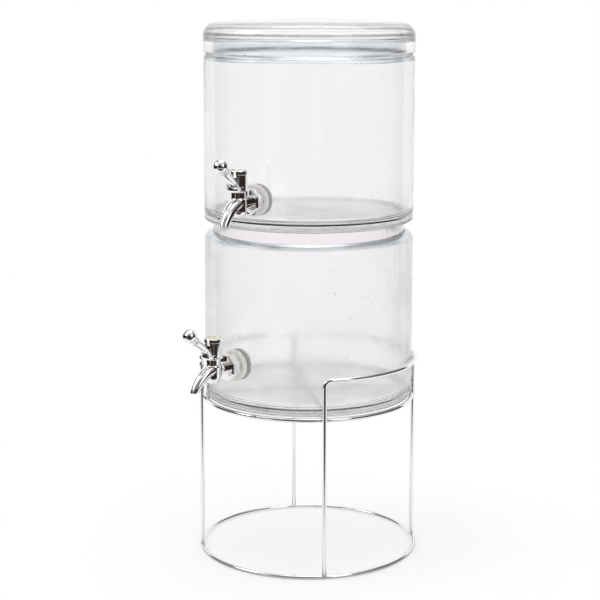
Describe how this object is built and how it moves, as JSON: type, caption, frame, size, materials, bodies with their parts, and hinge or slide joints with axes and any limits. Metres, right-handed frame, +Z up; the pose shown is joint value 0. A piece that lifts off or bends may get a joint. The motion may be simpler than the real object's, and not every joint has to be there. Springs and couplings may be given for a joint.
{
  "type": "beverage dispenser",
  "caption": "Two-tier glass beverage dispenser: stacked round jars with lever taps and a flat glass lid on a wire stand with an open-fronted guard rail.",
  "frame": {"origin": "centre of the base ring on the table", "axes": "+Z up along the jars, -Y out through the open quarter of the guard rail, where the taps are, +X to the right seen from that side"},
  "size_m": [0.2325, 0.2953, 0.5646],
  "materials": {
    "glass": "clear pressed glass",
    "chrome_wire": "bright chrome-plated steel wire",
    "chrome_tap": "bright chrome plating on moulded plastic",
    "insert": "pale cream, satin",
    "silicone": "pale translucent silicone",
    "stem": "natural white, smooth",
    "steel": "stainless"
  },
  "bodies": {
    "stand": {"base_ring": "chrome_wire", "support_ring": "chrome_wire", "guard_rail": "chrome_wire", "leg_right": "chrome_wire", "leg_left": "chrome_wire", "cross_bar_straight": "chrome_wire", "cross_bar_joggled": "chrome_wire"},
    "lower_jar": {"lower_jar": "glass", "lower_tap_body": "chrome_tap", "lower_cap": "chrome_tap", "lower_cap_insert": "insert", "lower_lever_pin": "steel", "lower_washer_outer": "silicone", "lower_washer_inner": "silicone", "lower_nut": "chrome_tap"},
    "lower_lever": {"lower_lever": "chrome_tap"},
    "lower_plunger": {"lower_plunger": "stem", "lower_seat_cup": "silicone", "lower_spring": "steel"},
    "upper_jar": {"upper_jar": "glass", "upper_tap_body": "chrome_tap", "upper_cap": "chrome_tap", "upper_cap_insert": "insert", "upper_lever_pin": "steel", "upper_washer_outer": "silicone", "upper_washer_inner": "silicone", "upper_nut": "chrome_tap"},
    "upper_lever": {"upper_lever": "chrome_tap"},
    "upper_plunger": {"upper_plunger": "stem", "upper_seat_cup": "silicone", "upper_spring": "steel"},
    "lid": {"lid": "glass"}
  },
  "joints": [
    {"name": "lower_jar_lift", "type": "slide", "parent": "stand", "child": "lower_jar", "axis": [0, 0, 1], "range_m": [0, 0.06]},
    {"name": "upper_jar_lift", "type": "slide", "parent": "lower_jar", "child": "upper_jar", "axis": [0, 0, 1], "range_m": [0, 0.06]},
    {"name": "lid_lift", "type": "slide", "parent": "upper_jar", "child": "lid", "axis": [0, 0, 1], "range_m": [0, 0.06]},
    {"name": "lower_lever_press", "type": "hinge", "parent": "lower_jar", "child": "lower_lever", "pos_m": [-0.01524, -0.14495, 0.23365], "axis": [0.9945, -0.1045, 0], "range_deg": [0, 28], "stiffness_Nm_per_rad": 0.12, "springref_deg": -28.65},
    {"name": "lower_plunger_lift", "type": "slide", "parent": "lower_jar", "child": "lower_plunger", "axis": [0, 0, 1], "range_m": [0, 0.00252], "deforming": ["lower_spring"]},
    {"name": "upper_lever_press", "type": "hinge", "parent": "upper_jar", "child": "upper_lever", "pos_m": [0.01902, -0.1445, 0.40465], "axis": [0.9914, 0.1305, 0], "range_deg": [0, 28], "stiffness_Nm_per_rad": 0.12, "springref_deg": -28.65},
    {"name": "upper_plunger_lift", "type": "slide", "parent": "upper_jar", "child": "upper_plunger", "axis": [0, 0, 1], "range_m": [0, 0.00252], "deforming": ["upper_spring"]}
  ],
  "couplings": [
    {"joint": "lower_plunger_lift", "follows": "lower_lever_press", "m_per_rad": 0.005148},
    {"joint": "upper_plunger_lift", "follows": "upper_lever_press", "m_per_rad": 0.005148}
  ]
}
